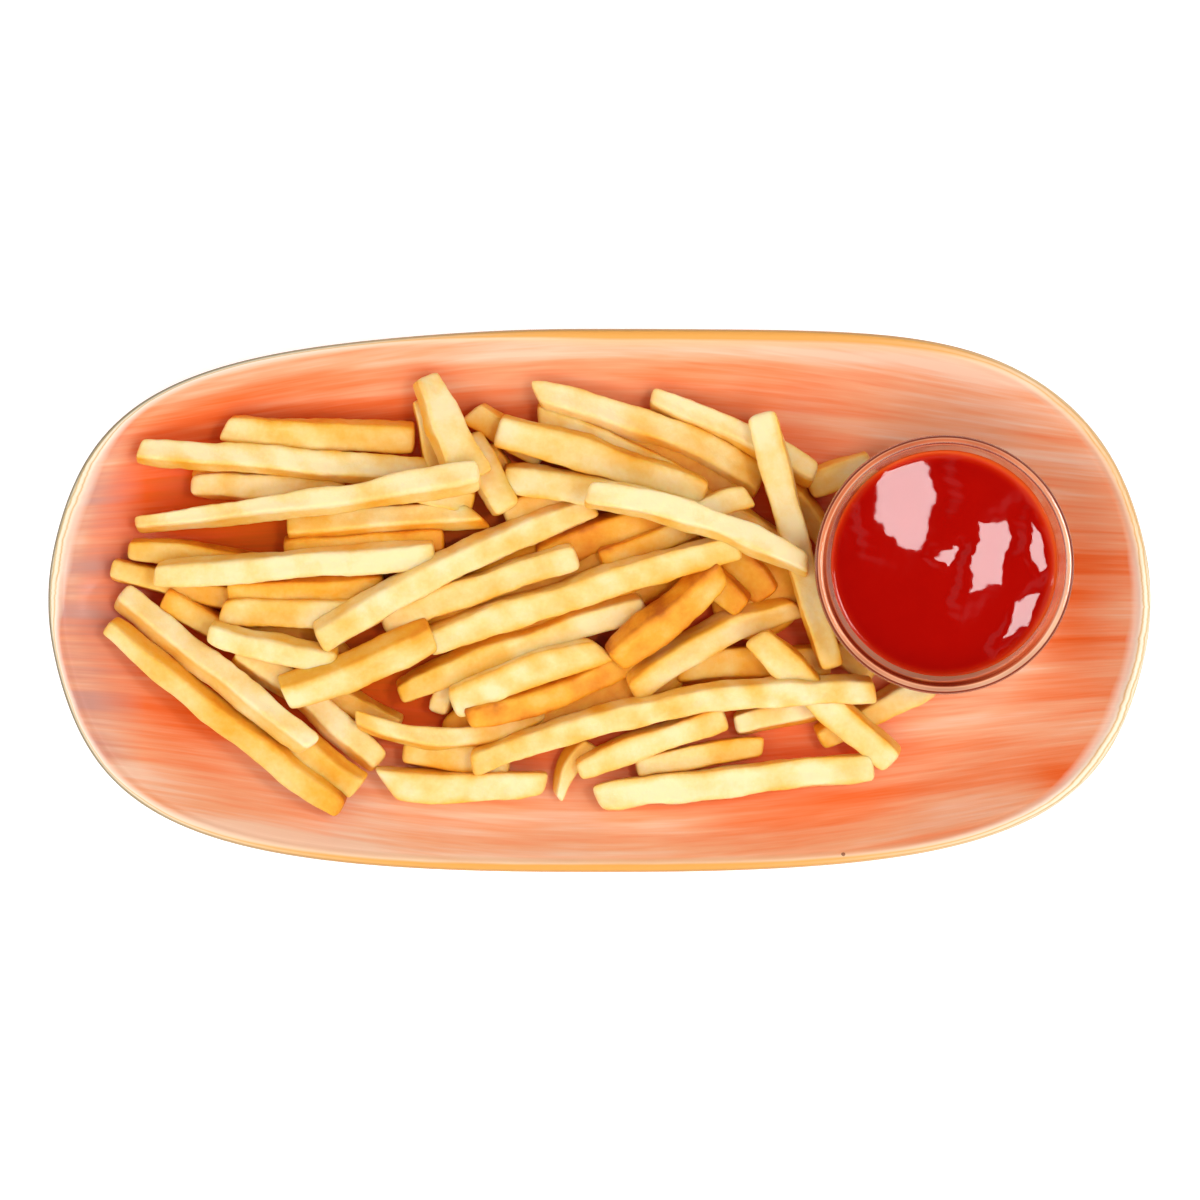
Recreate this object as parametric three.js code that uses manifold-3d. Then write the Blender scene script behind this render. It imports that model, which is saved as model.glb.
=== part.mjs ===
// A portion of french fries on an oval plate, with a small glass bowl of ketchup.
// Millimetres. The origin is the middle of the plate's foot, +X runs along the plate
// towards the bowl, +Y across it, +Z up.
import * as THREE from "three";
import { mergeVertices } from "three/addons/utils/BufferGeometryUtils.js";
import Module from "manifold-3d";

// Plate
const PLATE_LENGTH = 300;
const PLATE_WIDTH = 148;
const PLATE_HEIGHT = 22;
const PLATE_SQUARENESS = 2.75; // exponent of the outline: 2 is an ellipse, more is squarer
const END_ROUNDNESS = 0.28; // taken off the exponent at the two ends and added at the sides
const DIAGONAL_FULLNESS = 0.25; // added to it on the diagonals and taken off between them
const CORNER_FULLNESS = 1.3; // added in a bell round the angle of the far right corner
const CORNER_ANGLE = 70; // degrees
const CORNER_SPREAD = 20;
const BACK_ROUNDNESS = 0.55; // taken off in a wider bell along the far side
const BACK_SPREAD = 40;
const WELL_HEIGHT = 6; // upper face of the flat well
const WALL_WIDTH = 28; // from the rim in to the well
const WALL_CURVE = 1.9;
const LIP = 3.4; // width of the rounded rim
const FOOT_INSET = 34;
const FOOT_WIDTH = 4;
const FOOT_RECESS = 1.6;
const PLATE_SIDES = 56;

// Glass bowl
const BOWL_X = 92.3;
const BOWL_Y = 9.6;
const BOWL_HEIGHT = 32.8;
const BOWL_BASE_RADIUS = 20;
const BOWL_FLARE = 15.1; // how much wider the rim is than the base
const BOWL_CURVE = 0.75;
const BOWL_WALL = 2.6;
const BOWL_FLOOR = 4.6;
const BOWL_SIDES = 36;

// Ketchup
const KETCHUP_LEVEL = 26; // above the bowl's base, at the middle
const KETCHUP_SLOPE = 0.035; // how it banks up towards the far side of the bowl
const KETCHUP_RELIEF = 0.7;
const KETCHUP_SIDES = 32;

// Fries
const FRY_CHAMFER = 1.3;
const FRY_MAX_TILT = 9; // degrees
const FRY_SETTLE = 0.5; // how far each one beds into those below
const FRY_CONTACT = 0.86; // share of its length that a resting fry clears

const GAP = 0.3; // between touching pieces

// Each fry, in the order they lie from the plate up: its start x and y, its end x and y,
// sideways bow, width at its start and at its end, thickness, turn about its own length in
// degrees, and how far the left edge runs ahead of the right one at its start and at its end.
const FRIES = [
  [-102.5, 47, -50.5, 44.5, -0.5, 8.4, 8.8, 8.0, 12, 4.5, 0],
  [-112, 31.5, -69.5, 29.5, 0.5, 7.6, 8.0, 7.5, 0, 0, 0],
  [-86.5, 14, -42.5, 17, 0, 8.0, 8.0, 7.2, 14, 0, 0],
  [-133.5, 9, -97, 0, -0.5, 7.4, 8.0, 7.0, 0, 0, 0],
  [-134, -6.5, -70, -56.5, -1, 6.8, 9.8, 8.0, 18, 0, -2],
  [-100, -24, -65.5, -51, -1, 8.4, 8.6, 7.6, 12, 0, 0],
  [-119, 1, -83.5, -17.5, -1, 8.4, 8.4, 7.0, 10, 0, 0],
  [-77, -23.5, -55, -35, -0.5, 8.4, 8.0, 7.0, 0, 0, 0],
  [-54, -41.5, -24.5, -44.5, 0, 8.2, 8.0, 7.0, 0, 0, 0],
  [-44.5, -31, -39.5, -16.5, 0, 7.0, 7.0, 6.6, 0, 0, 0],
  [-11.5, -54, -2.5, -39, 1.5, 3.6, 8.0, 5.4, 20, 2, 0],
  [10, -46, 45, -40, 0.5, 6.8, 6.8, 7.0, 0, 0, 2],
  [21, -18, 63.5, -16.5, 0, 10.4, 9.6, 7.6, 0, 0, 0],
  [60, -38, 91, -22.5, 0, 8.0, 8.0, 7.4, 10, 0, 0],
  [57, 31.5, 74.5, 38, -0.5, 8.6, 8.6, 7.6, 10, 0, 0],
  [51, 31, 65, 13.5, 0, 8.0, 7.6, 7.0, 16, 0, 0],
  [64, -13, 75, -21, 0, 7.0, 7.0, 6.6, 0, 0, 0],
  [35, 15, 46.5, 1, 0, 9.8, 9.8, 7.6, 18, 0, 0],
  [23, 12, 39.5, -2, 0, 9.6, 9.6, 8.0, 18, 0, 0],
  [-16.5, -3, 19, 9.5, 0, 8.6, 8.6, 7.4, 12, 0, 0],
  [-16.5, 11, 26, 26.5, 1, 10.0, 10.0, 7.6, 18, 0, 0],
  [0, 11.5, 29, 22, -0.5, 6.8, 6.8, 6.2, 16, 0, 0],
  [25, 29.5, 56, 12, -0.5, 8.6, 8.6, 7.0, 6, 0, 0],
  [-35, 52, -15, 39.5, 0, 7.6, 8.0, 7.0, 10, 3, 0],
  [-31.5, 42, -23, 30.5, 0, 7.0, 7.0, 6.0, 0, 0, 0],
  [-101.5, 2, -59, 4.5, -0.5, 7.6, 7.6, 7.0, 20, 0, 0],
  [-26.5, 24, -5.5, 31.5, 0, 7.6, 7.6, 7.4, 10, 0, 0],
  [-59, -50, -14.5, -50, -1, 9.2, 7.6, 7.6, 5, -7, 2],
  [-129, 14, -92.5, 9.5, 0.5, 7.4, 7.6, 7.2, 16, 0, 0],
  [-103, -2.5, -63.5, -3, -0.5, 8.4, 9.8, 6.8, 8, 3, 0],
  [-98, -13, -60, -44.5, 1, 9.0, 8.2, 7.6, -10, 0, 0],
  [-125.5, 40.5, -46, 34.5, 0.5, 6.6, 7.8, 7.4, -12, 2, 0],
  [-55.5, 32, -34.5, 26.5, 0, 7.4, 7.4, 7.0, 0, 0, 0],
  [-85.5, 19.5, -33, 23.5, 1, 8.2, 7.6, 7.0, -16, 0, -9],
  [-106, -8.5, -71.5, -16.5, -1, 7.4, 8.6, 7.4, 8, 0, 0],
  [14, 55.5, 59, 34, 1.5, 7.0, 8.4, 7.4, -8, -2, -1],
  [-17, 51, 25, 32, 0.5, 7.0, 7.8, 7.0, 6, -4, 0],
  [-28, 46.5, 29, 29, 1, 9.8, 8.0, 7.4, 8, 0, 0],
  [37, -34, 61, -29, 0, 8.4, 8.2, 7.4, 0, 0, 0],
  [42.5, -9.5, 80.5, -44, -0.5, 8.8, 8.8, 7.8, 14, 3, 0],
  [-66.5, -32, -14.5, -30, -6.5, 5.4, 7.6, 7.0, -8, 0, 0],
  [-36.5, -31.5, 11, -14, -2.5, 8.0, 9.0, 7.8, 20, 0, 0],
  [-1, -54, 75, -45.5, 0.5, 8.8, 8.2, 7.6, 6, -3, 0],
  [-86, -25, -45.5, -9, -1, 8.4, 8.6, 8.2, 35, 0, 0],
  [-131, 2, -78, -39.5, 0, 8.6, 7.8, 8.0, -26, 0, 3],
  [-59.5, -6.5, -6, 12, 1, 8.4, 8.2, 7.0, 6, 0, 0],
  [-55, -25.5, 12.5, -1.5, 1.5, 9.2, 9.0, 7.6, 18, 0, 0],
  [3.5, -16, 33, 9.5, -1, 10.2, 8.0, 8.4, 30, 0, 3],
  [-40.5, -28, 1, -13, 1, 9.0, 8.6, 7.6, 10, 0, -6],
  [-17.5, 56, 44.5, 32.5, 3, 7.0, 9.2, 7.6, -14, -9, 0],
  [25.5, 23.5, 41, 28.5, 0.5, 6.4, 8.0, 7.2, 0, 0, -2],
  [-49, 55, -44, 36, 0, 5.6, 9.4, 7.2, 0, 0, 0],
  [-36.5, 45, -25, 24.5, 0, 8.0, 8.2, 7.6, -6, 0, 0],
  [-47.5, 61, -34.5, 32.5, 0, 7.4, 14.6, 8.0, -18, 0, 0],
  [-6, -46.5, 34.5, -31.5, 0.5, 7.6, 7.6, 7.4, 12, 0, 0],
  [8.5, -24.5, 54, -1, 3, 8.4, 7.8, 8.0, 31, 0, -5],
  [-121, 7, -45, 13, -0.5, 7.8, 8.6, 7.6, 10, 2, 0],
  [-127, 21, -32.5, 34.5, -1, 4.8, 9.6, 7.6, -8, 0, 0],
  [44, 51, 63.5, -18.5, -0.5, 9.0, 6.8, 7.6, 6, 0, 0],
  [-47, -11.5, 38, 15, 1, 9.0, 8.2, 7.8, 12, 0, 0],
  [-35, -45, 75, -24.5, 6, 8.2, 8.6, 7.8, 8, 0, 0],
  [-76.5, -11, -1.5, 26, 2.5, 10.2, 9.4, 8.0, 14, 0, -2],
  [-26, 33.5, 27.5, 23.5, 1, 8.4, 8.0, 7.0, 8, -1, 0],
  [-3.5, 29, 56.5, 9.5, 3, 8.4, 7.8, 7.6, -8, 0, -3],
];

// Low mounds inside the heap, where no plate shows between the fries: x, y, half length,
// half width, and the turn in degrees.
const CORE = [
  [-10, 4, 40, 14, 18],
  [-88, 36, 24, 7, 4],
  [-84, -14, 20, 10, -25],
  [16, 38, 26, 7, -22],
  [-10, -28, 34, 9, 12],
  [44, 2, 14, 12, 40],
];
const CORE_HEIGHT = 6.5;
const CORE_SIDES = 12;

// A closed surface from rings of points, from the first ring round to the last, each
// ring's ends closed by a fan about its middle.
function closedRings(rings) {
  const sides = rings[0].length;
  const positions = [];
  const index = [];
  for (const ring of rings) for (const p of ring) positions.push(...p);
  for (let r = 0; r + 1 < rings.length; r++) {
    for (let i = 0; i < sides; i++) {
      const a = r * sides + i;
      const b = r * sides + ((i + 1) % sides);
      index.push(a, b, b + sides, a, b + sides, a + sides);
    }
  }
  for (const [ring, first, order] of [
    [rings[0], 0, 1],
    [rings[rings.length - 1], (rings.length - 1) * sides, -1],
  ]) {
    const middle = positions.length / 3;
    for (const axis of [0, 1, 2]) {
      positions.push(ring.reduce((sum, p) => sum + p[axis], 0) / sides);
    }
    for (let i = 0; i < sides; i++) {
      const a = first + i;
      const b = first + ((i + 1) % sides);
      index.push(middle, order > 0 ? b : a, order > 0 ? a : b);
    }
  }
  const geometry = new THREE.BufferGeometry();
  geometry.setAttribute("position", new THREE.Float32BufferAttribute(positions, 3));
  geometry.setIndex(index);
  return geometry;
}

// The plate's outline is a squared ellipse, round at its ends and fuller at one far corner.
function outlineExponent(angle) {
  const degrees = (angle * 180) / Math.PI;
  const bell = (middle, spread) => Math.exp(-(((degrees - middle) / spread) ** 2));
  return (
    PLATE_SQUARENESS -
    END_ROUNDNESS * Math.cos(2 * angle) -
    DIAGONAL_FULLNESS * Math.cos(4 * angle) +
    CORNER_FULLNESS * bell(CORNER_ANGLE, CORNER_SPREAD) -
    BACK_ROUNDNESS * bell(90, BACK_SPREAD)
  );
}

function plateRing(inset, z) {
  const ring = [];
  for (let i = 0; i < PLATE_SIDES; i++) {
    const angle = (2 * Math.PI * i) / PLATE_SIDES;
    const n = outlineExponent(angle);
    const c = Math.cos(angle);
    const s = Math.sin(angle);
    const reach = (Math.abs(c) ** n + Math.abs(s) ** n) ** (-1 / n);
    ring.push([(PLATE_LENGTH / 2 - inset) * reach * c, (PLATE_WIDTH / 2 - inset) * reach * s, z]);
  }
  return ring;
}

// Height of the plate's upper face at a given distance in from the rim.
function plateFace(inset) {
  const across = Math.min(Math.max((inset - LIP) / (WALL_WIDTH - LIP), 0), 1);
  return WELL_HEIGHT + (PLATE_HEIGHT - 1 - WELL_HEIGHT) * (1 - across) ** WALL_CURVE;
}

function plateHeightAt(x, y) {
  let low = 0;
  let high = WALL_WIDTH;
  for (let step = 0; step < 12; step++) {
    const inset = (low + high) / 2;
    const a = x / (PLATE_LENGTH / 2 - inset);
    const b = y / (PLATE_WIDTH / 2 - inset);
    const n = outlineExponent(Math.atan2(b, a));
    if (Math.abs(a) ** n + Math.abs(b) ** n > 1) high = inset;
    else low = inset;
  }
  return plateFace((low + high) / 2);
}

function plateGeometry(raised = 0) {
  const profile = [
    [FOOT_INSET + FOOT_WIDTH + 1, FOOT_RECESS],
    [FOOT_INSET + FOOT_WIDTH, 0],
    [FOOT_INSET, 0],
    [FOOT_INSET - 1.5, FOOT_RECESS],
    [23, 3],
    [14, 7],
    [6.5, 13],
    [1.6, 18.6],
    [0, 20.5],
    [0.9, PLATE_HEIGHT - 0.3],
    [2, PLATE_HEIGHT],
  ];
  for (const inset of [LIP, 7, 11, 15.5, 21, WALL_WIDTH]) profile.push([inset, plateFace(inset)]);
  return closedRings(profile.map(([inset, z]) => plateRing(inset, z + raised)));
}

// Outer radius of the glass bowl at a height above its base.
function bowlRadius(height) {
  return BOWL_BASE_RADIUS + BOWL_FLARE * (height / (BOWL_HEIGHT - 0.8)) ** BOWL_CURVE;
}

function bowlGeometry() {
  const heights = [4, 9, 15, 22, 28];
  const profile = [
    [0, 0],
    [BOWL_BASE_RADIUS - 1, 0],
    [BOWL_BASE_RADIUS + 0.6, 0.9],
    ...heights.map((h) => [bowlRadius(h), h]),
    [bowlRadius(31), 31],
    [bowlRadius(31) - 0.2, BOWL_HEIGHT - 0.5],
    [bowlRadius(31) - BOWL_WALL / 2, BOWL_HEIGHT],
    [bowlRadius(31) - BOWL_WALL + 0.3, BOWL_HEIGHT - 0.8],
    ...heights.slice(1).reverse().map((h) => [bowlRadius(h) - BOWL_WALL, h]),
    [bowlRadius(4) - BOWL_WALL - 3, BOWL_FLOOR + 0.8],
    [0, BOWL_FLOOR],
  ];
  const geometry = new THREE.LatheGeometry(
    profile.map(([r, z]) => new THREE.Vector2(r, z)),
    BOWL_SIDES,
  );
  geometry.rotateX(Math.PI / 2);
  geometry.translate(BOWL_X, BOWL_Y, WELL_HEIGHT + GAP);
  geometry.deleteAttribute("normal");
  geometry.deleteAttribute("uv");
  return mergeVertices(geometry);
}

// Height of the ketchup's surface above the bowl's base: it banks up towards +X +Y and
// lies in soft folds.
function ketchupSurface(x, y) {
  const bank = KETCHUP_SLOPE * (x + y);
  const folds = Math.sin(x / 7 + 0.8) * Math.cos(y / 9 - 0.4);
  return KETCHUP_LEVEL + bank + KETCHUP_RELIEF * folds;
}

function ketchupGeometry() {
  const ring = (radius, height) =>
    Array.from({ length: KETCHUP_SIDES }, (_, i) => {
      const angle = (2 * Math.PI * i) / KETCHUP_SIDES;
      const x = radius * Math.cos(angle);
      const y = radius * Math.sin(angle);
      return [BOWL_X + x, BOWL_Y + y, WELL_HEIGHT + GAP + height(x, y)];
    });
  const inside = (h) => bowlRadius(h) - BOWL_WALL - GAP - 0.15;
  const top = KETCHUP_LEVEL - 2;
  const walls = [9, 15, 21].map((h) => ring(inside(h), () => h));
  return closedRings([
    ring(inside(4) - 5, () => BOWL_FLOOR + 1.4),
    ...walls,
    ...[inside(top), 21, 13, 6].map((radius) => ring(radius, ketchupSurface)),
  ]);
}

// Upper edge of a fry's turned cross-section at a sideways distance from its middle.
function sectionTop(side, width, thick, turn) {
  const c = Math.cos(turn);
  const s = Math.sin(turn);
  const face = (thick / 2 + side * s) / c;
  if (Math.abs(s) < 1e-6) return face;
  return Math.min(face, (width / 2 - Math.sign(s) * side * c) / Math.abs(s));
}

// Lets each fry down on the plate and on those before it: its line is the best fit to the
// tops beneath it, tilted no more than FRY_MAX_TILT, and raised until it clears most of
// them and all of the plate. Returns the heights of both ends of each one's middle line.
function settle(fries) {
  const reachX = PLATE_LENGTH / 2;
  const reachY = PLATE_WIDTH / 2;
  const columns = PLATE_LENGTH + 1;
  const cell = (x, y) => Math.round(x + reachX) + columns * Math.round(y + reachY);
  const plate = new Float64Array(columns * (PLATE_WIDTH + 1));
  for (let x = -reachX; x <= reachX; x++) {
    for (let y = -reachY; y <= reachY; y++) plate[cell(x, y)] = plateHeightAt(x, y) + GAP;
  }
  const tops = plate.slice();
  return fries.map(({ length, at, halfWidth, width, thick, turn }) => {
    const top = (u, side) => sectionTop(side, width(u), thick, turn);
    const shares = Array.from({ length: 24 }, (_, k) => k / 23);
    // Height of the middle line that clears a surface at each share of the fry's length.
    const clearing = (surface, reach, pick) =>
      shares.map((u) =>
        pick(
          [-1, -0.5, 0, 0.5, 1].map((part) => {
            const side = part * reach * halfWidth(u);
            return surface[cell(...at(u, side))] + top(u, -side);
          }),
        ),
      );
    const mean = (values) => values.reduce((sum, v) => sum + v, 0) / values.length;
    const rests = clearing(tops, 0.6, mean);
    const floor = clearing(plate, 0.97, (values) => Math.max(...values));
    const middle = mean(rests);
    const spread = mean(shares.map((u) => (u - 0.5) ** 2));
    const fitted = mean(rests.map((z, k) => (shares[k] - 0.5) * (z - middle))) / spread;
    const steepest = Math.tan(THREE.MathUtils.degToRad(FRY_MAX_TILT)) * length;
    const rise = THREE.MathUtils.clamp(fitted, -steepest, steepest);
    const over = rests.map((z, k) => z - rise * shares[k]).sort((a, b) => a - b);
    const start = Math.max(
      over[Math.floor(FRY_CONTACT * (over.length - 1))] - FRY_SETTLE,
      ...floor.map((z, k) => z - rise * shares[k]),
    );
    const steps = Math.ceil(length * 2);
    for (let i = 0; i <= steps; i++) {
      const u = i / steps;
      for (let side = -halfWidth(u); side <= halfWidth(u); side += 0.5) {
        const here = cell(...at(u, side));
        tops[here] = Math.max(tops[here], start + rise * u + top(u, side));
      }
    }
    return [start, start + rise];
  });
}

function readFry([x0, y0, x1, y1, bow, width0, width1, thick, degrees, cut0, cut1]) {
  const length = Math.hypot(x1 - x0, y1 - y0);
  const ex = (x1 - x0) / length;
  const ey = (y1 - y0) / length;
  const turn = THREE.MathUtils.degToRad(degrees);
  const width = (u) => width0 + (width1 - width0) * u;
  const halfWidth = (u) => (width(u) * Math.cos(turn) + thick * Math.abs(Math.sin(turn))) / 2;
  // The plan position a share u along the fry and a distance to the left of its middle.
  const at = (u, side) => {
    const left = side + 4 * bow * u * (1 - u);
    const end = u < 0.5 ? cut0 * (0.5 - u) : cut1 * (u - 0.5);
    const along = u * length + (end * side) / halfWidth(u);
    return [x0 + ex * along - ey * left, y0 + ey * along + ex * left];
  };
  return { length, bow, at, halfWidth, width, thick, turn };
}

function fryGeometry({ length, bow, at, width, thick, turn }, [start, end]) {
  const b = thick / 2;
  const c = FRY_CHAMFER;
  const bevel = 1 / length;
  const between = Math.abs(bow) < 1 ? [] : Math.abs(bow) < 2.5 ? [0.5] : [0.25, 0.5, 0.75];
  const stations = [0, bevel, ...between, 1 - bevel, 1];
  return closedRings(
    stations.map((u) => {
      const shrink = u === 0 || u === 1 ? 0.82 : 1;
      const a = width(u) / 2;
      const corners = [
        [a, c - b], [a, b - c], [a - c, b], [c - a, b],
        [-a, b - c], [-a, c - b], [c - a, -b], [a - c, -b],
      ];
      return corners.map(([p, q]) => {
        const side = shrink * (p * Math.cos(turn) - q * Math.sin(turn));
        const rise = shrink * (p * Math.sin(turn) + q * Math.cos(turn));
        const [x, y] = at(u, side);
        return [x, y, start + (end - start) * u + rise];
      });
    }),
  );
}

function moundGeometry([x0, y0, halfLength, halfWidth, degrees]) {
  const turn = THREE.MathUtils.degToRad(degrees);
  const floor = WELL_HEIGHT + GAP;
  const ring = (share, z) =>
    Array.from({ length: CORE_SIDES }, (_, i) => {
      const angle = (2 * Math.PI * i) / CORE_SIDES;
      const x = share * halfLength * Math.cos(angle);
      const y = share * halfWidth * Math.sin(angle);
      return [
        x0 + x * Math.cos(turn) - y * Math.sin(turn),
        y0 + x * Math.sin(turn) + y * Math.cos(turn),
        floor + z,
      ];
    });
  return closedRings([ring(0.96, 0), ring(1, CORE_HEIGHT / 2), ring(0.8, CORE_HEIGHT)]);
}

const wasm = await Module();
wasm.setup();

function solid(geometry) {
  return new wasm.Manifold(
    new wasm.Mesh({
      numProp: 3,
      vertProperties: geometry.attributes.position.array,
      triVerts: new Uint32Array(geometry.index.array),
    }),
  );
}

function friesGeometry() {
  const fries = FRIES.map(readFry);
  const heights = settle(fries);
  const pieces = [...CORE.map(moundGeometry), ...fries.map((fry, i) => fryGeometry(fry, heights[i]))];
  const heap = pieces.map(solid).reduce((all, piece) => all.add(piece));
  const mesh = heap.subtract(solid(plateGeometry(GAP))).getMesh();
  const geometry = new THREE.BufferGeometry();
  geometry.setAttribute("position", new THREE.Float32BufferAttribute(mesh.vertProperties, 3));
  geometry.setIndex(new THREE.BufferAttribute(mesh.triVerts, 1));
  return geometry;
}

function named(name, geometry, color, roughness, extra = {}) {
  const material = new THREE.MeshStandardMaterial({ color, roughness, metalness: 0, ...extra });
  const mesh = new THREE.Mesh(geometry, material);
  mesh.name = name;
  return mesh;
}

const portion = new THREE.Group();
portion.name = "french_fries_portion";
portion.add(
  named("plate", plateGeometry(), 0xf59a6e, 0.18),
  named("sauce_bowl", bowlGeometry(), 0xf3ede6, 0.05, { transparent: true, opacity: 0.35 }),
  named("ketchup", ketchupGeometry(), 0xa30a02, 0.22),
  named("fries", friesGeometry(), 0xf5d592, 0.55),
);

export default portion;
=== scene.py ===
"""A portion of french fries on an oval glazed plate, with a small glass bowl of ketchup."""
import math
import bpy
import numpy as np
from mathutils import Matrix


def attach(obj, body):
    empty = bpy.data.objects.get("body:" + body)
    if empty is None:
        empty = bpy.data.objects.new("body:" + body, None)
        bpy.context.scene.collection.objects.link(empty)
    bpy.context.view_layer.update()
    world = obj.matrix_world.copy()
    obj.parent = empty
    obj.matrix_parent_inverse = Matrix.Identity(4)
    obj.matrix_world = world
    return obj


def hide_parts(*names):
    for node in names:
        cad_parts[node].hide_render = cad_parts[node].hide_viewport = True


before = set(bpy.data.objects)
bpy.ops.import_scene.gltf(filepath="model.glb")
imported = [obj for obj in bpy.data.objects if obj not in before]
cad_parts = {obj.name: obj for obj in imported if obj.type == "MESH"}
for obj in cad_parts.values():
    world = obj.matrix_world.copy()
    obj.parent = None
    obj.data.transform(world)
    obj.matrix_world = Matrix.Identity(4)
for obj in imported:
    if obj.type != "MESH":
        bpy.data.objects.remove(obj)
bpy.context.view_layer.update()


# ---------------------------------------------------------------------------
# Plate: a long oval serving plate of stoneware, with a flat well, a curved wall and a foot.
# Coral glaze is brushed on along its length in streaks, and wiped thin and ochre at the rim.
# ---------------------------------------------------------------------------
PLATE_LENGTH, PLATE_WIDTH, PLATE_HEIGHT = 0.300, 0.148, 0.022
PLATE_SQUARENESS, END_ROUNDNESS, DIAGONAL_FULLNESS = 2.75, 0.28, 0.25
CORNER_FULLNESS, CORNER_ANGLE, CORNER_SPREAD = 1.3, 70, 20
BACK_ROUNDNESS, BACK_SPREAD = 0.55, 40
WELL_HEIGHT, MIDDLE_INSET = 0.006, 0.072
WALL_WIDTH, WALL_CURVE, LIP, LIP_DROP = 0.028, 1.9, 0.0034, 0.001
FOOT_INSET, FOOT_WIDTH, FOOT_RECESS = 0.034, 0.004, 0.0016
PLATE_SIDES = 420


def outline_exponent(angle):
    """Exponent of the squared ellipse: a mean, waves of two and four turns, and two bells.

    The ends are rounder than the sides, and the far right corner is the fullest."""
    degrees = np.degrees(np.angle(np.exp(1j * angle)))
    return (PLATE_SQUARENESS - END_ROUNDNESS * np.cos(2 * angle)
            - DIAGONAL_FULLNESS * np.cos(4 * angle)
            + CORNER_FULLNESS * np.exp(-((degrees - CORNER_ANGLE) / CORNER_SPREAD) ** 2)
            - BACK_ROUNDNESS * np.exp(-((degrees - 90) / BACK_SPREAD) ** 2))


def plate_face(inset):
    """Height of the upper face: a power curve from the lip down to the flat well."""
    across = np.clip((inset - LIP) / (WALL_WIDTH - LIP), 0, 1)
    return WELL_HEIGHT + (PLATE_HEIGHT - LIP_DROP - WELL_HEIGHT) * (1 - across) ** WALL_CURVE


def full_turn(sides):
    """Evenly spaced angles, once round."""
    return np.linspace(0, 2 * math.pi, sides, endpoint=False)


def squared_reach(angle, n):
    """Distance from the middle to the edge of a unit squared ellipse of exponent n."""
    return (np.abs(np.cos(angle)) ** n + np.abs(np.sin(angle)) ** n) ** (-1 / n)


def rounded(profile, times):
    """Cuts every corner of an open profile at its quarter points, several times over."""
    for _ in range(times):
        near, far = profile[:-1], profile[1:]
        cut = np.stack([0.75 * near + 0.25 * far, 0.25 * near + 0.75 * far], 1)
        profile = np.concatenate([profile[:1], cut.reshape(-1, profile.shape[1]), profile[-1:]])
    return profile


def plate_surface():
    """Rings of the squared ellipse, each shrunk by its inset and set at its height.

    The profile of (inset, height) runs from the middle of the underside out over the lip and in
    to the middle of the well."""
    wall = np.linspace(LIP + 0.0012, WALL_WIDTH, 22)
    under = np.array([
        [0.0395, FOOT_RECESS], [FOOT_INSET + FOOT_WIDTH, 0.0], [FOOT_INSET, 0.0],
        [FOOT_INSET - 0.0015, FOOT_RECESS], [0.023, 0.003], [0.014, 0.007], [0.0065, 0.013],
        [0.0016, 0.0186], [0.0, 0.0204], [0.0004, 0.0214], [0.0012, PLATE_HEIGHT],
        [0.0026, PLATE_HEIGHT - 0.0001], [LIP + 0.0004, plate_face(LIP + 0.0006)],
    ])
    edge = rounded(np.concatenate([under, np.stack([wall, plate_face(wall)], 1)]), 3)
    inner_under = np.stack([np.linspace(MIDDLE_INSET, 0.0405, 10), np.full(10, FOOT_RECESS)], 1)
    well = np.linspace(WALL_WIDTH + 0.001, MIDDLE_INSET, 24)
    well = np.stack([well, np.full(24, WELL_HEIGHT)], 1)
    profile = np.concatenate([inner_under, edge, well])
    angle = full_turn(PLATE_SIDES)
    reach = squared_reach(angle, outline_exponent(angle))
    inset, height = profile[:, :1], profile[:, 1:]
    x = (PLATE_LENGTH / 2 - inset) * reach * np.cos(angle)
    y = (PLATE_WIDTH / 2 - inset) * reach * np.sin(angle)
    points = np.stack([x, y, np.broadcast_to(height, x.shape)], 2)
    return points, np.broadcast_to(inset, x.shape)


def ring_faces(rings, sides, first=0):
    """Quads between neighbouring rings of points, and at each end a fan to a middle point."""
    row, column = np.meshgrid(np.arange(rings - 1), np.arange(sides), indexing="ij")
    a = first + row * sides + column
    b = first + row * sides + (column + 1) % sides
    quads = np.stack([a, b, b + sides, a + sides], 2).reshape(-1, 4)
    side = np.arange(sides)
    start, end = first + rings * sides, first + rings * sides + 1
    last = first + (rings - 1) * sides
    fans = np.concatenate([
        np.stack([np.full(sides, start), first + (side + 1) % sides, first + side], 1),
        np.stack([np.full(sides, end), last + side, last + (side + 1) % sides], 1),
    ])
    return quads, fans


def with_poles(grid):
    """The grid's points in one list, and after them the middle of its first and last ring."""
    flat = grid.reshape(-1, grid.shape[-1])
    return np.concatenate([flat, grid[:1].mean(1), grid[-1:].mean(1)])


def smooth_object(name, points, quads, fans, attributes=()):
    """A mesh of smooth faces from arrays; attributes gives named values, one for each point."""
    mesh = bpy.data.meshes.new(name)
    mesh.from_pydata(points.tolist(), [], quads.tolist() + fans.tolist())
    mesh.polygons.foreach_set("use_smooth", np.ones(len(mesh.polygons), bool))
    for label, values in attributes:
        layer = mesh.attributes.new(label, "FLOAT", "POINT")
        layer.data.foreach_set("value", np.ascontiguousarray(values, np.float32).ravel())
    mesh.update()
    piece = bpy.data.objects.new(name, mesh)
    bpy.context.scene.collection.objects.link(piece)
    return piece


def stand_in(piece, node, material):
    """Gives a piece its material and its place in the model."""
    piece.data.materials.append(material)
    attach(piece, "root")
    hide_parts(node)


def srgb(*channels):
    """A colour on the 0 to 255 scale as linear light, with full opacity."""
    c = np.array(channels) / 255
    linear = np.where(c <= 0.04045, c / 12.92, ((c + 0.055) / 1.055) ** 2.4)
    return (*linear.tolist(), 1.0)


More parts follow.
